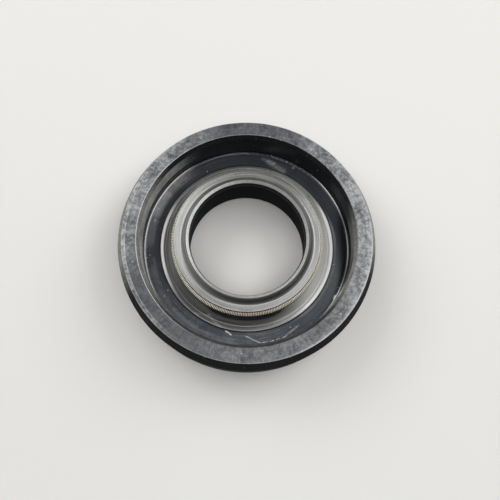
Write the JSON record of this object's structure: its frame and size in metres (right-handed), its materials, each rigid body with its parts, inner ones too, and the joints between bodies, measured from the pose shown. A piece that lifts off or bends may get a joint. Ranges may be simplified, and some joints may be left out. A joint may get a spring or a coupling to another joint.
{
  "type": "radial shaft seal",
  "caption": "Sprung radial lip seal: a moulded rubber body bonded to an L-shaped steel ring, with a garter spring behind the main lip and a dust lip on the air side.",
  "frame": {"origin": "centre of the air-side face, which the seal lies on", "axes": "+Z along the seal's axis, from the air side to the spring side"},
  "size_m": [0.035, 0.035, 0.008],
  "materials": {
    "rubber": "satin moulded rubber",
    "ring_steel": "dark blued satin",
    "spring_steel": "bright drawn wire"
  },
  "bodies": {
    "root": {"rubber_body": "rubber", "steel_ring": "ring_steel", "garter_spring": "spring_steel"}
  },
  "joints": []
}
